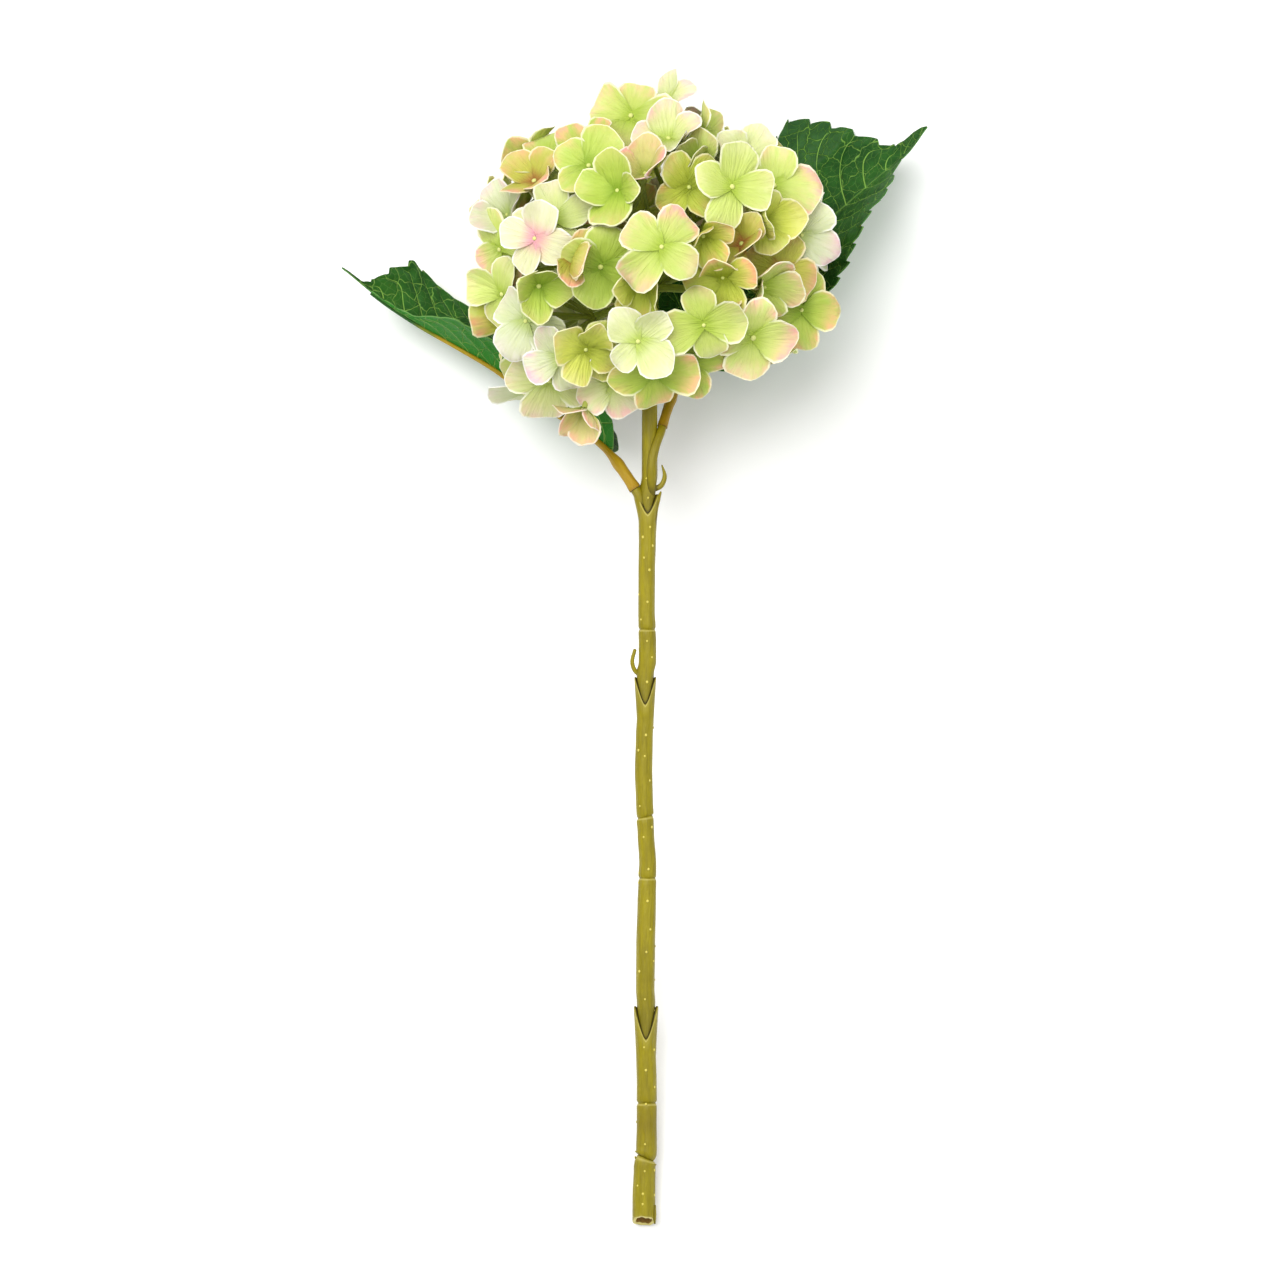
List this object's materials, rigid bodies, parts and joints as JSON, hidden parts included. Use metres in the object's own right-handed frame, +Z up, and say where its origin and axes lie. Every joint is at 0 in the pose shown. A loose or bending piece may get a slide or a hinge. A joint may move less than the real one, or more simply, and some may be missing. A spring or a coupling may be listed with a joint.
{
  "type": "cut hydrangea",
  "caption": "Cut hydrangea lying on its side: a dense round head of pale flat-petalled florets and toothed leaves on a long bare jointed stem, for display or arranging.",
  "frame": {"origin": "Centre of the overall box, on the surface that the plant lies on.", "axes": "+Y along the stem from the cut end to the flower head, +Z up off the surface, +X to the right of the head for a viewer who looks down on it."},
  "size_m": [0.2534, 0.4914, 0.1366],
  "materials": {
    "bark": "olive green bark, satin, with raised pale dots",
    "petals": "thin matt petals, pale lime green to cream, with blush pink rims",
    "leaf_green": "dark green leaf with lighter net veins, slightly waxy",
    "stalk_brown": "yellow-brown leaf stalk and rib, satin"
  },
  "bodies": {
    "root": {"stem": "bark", "flower_head": "petals", "leaf_left": "leaf_green", "leaf_right": "leaf_green", "leaf_stalk_left": "stalk_brown", "leaf_stalk_right": "stalk_brown"}
  },
  "joints": []
}
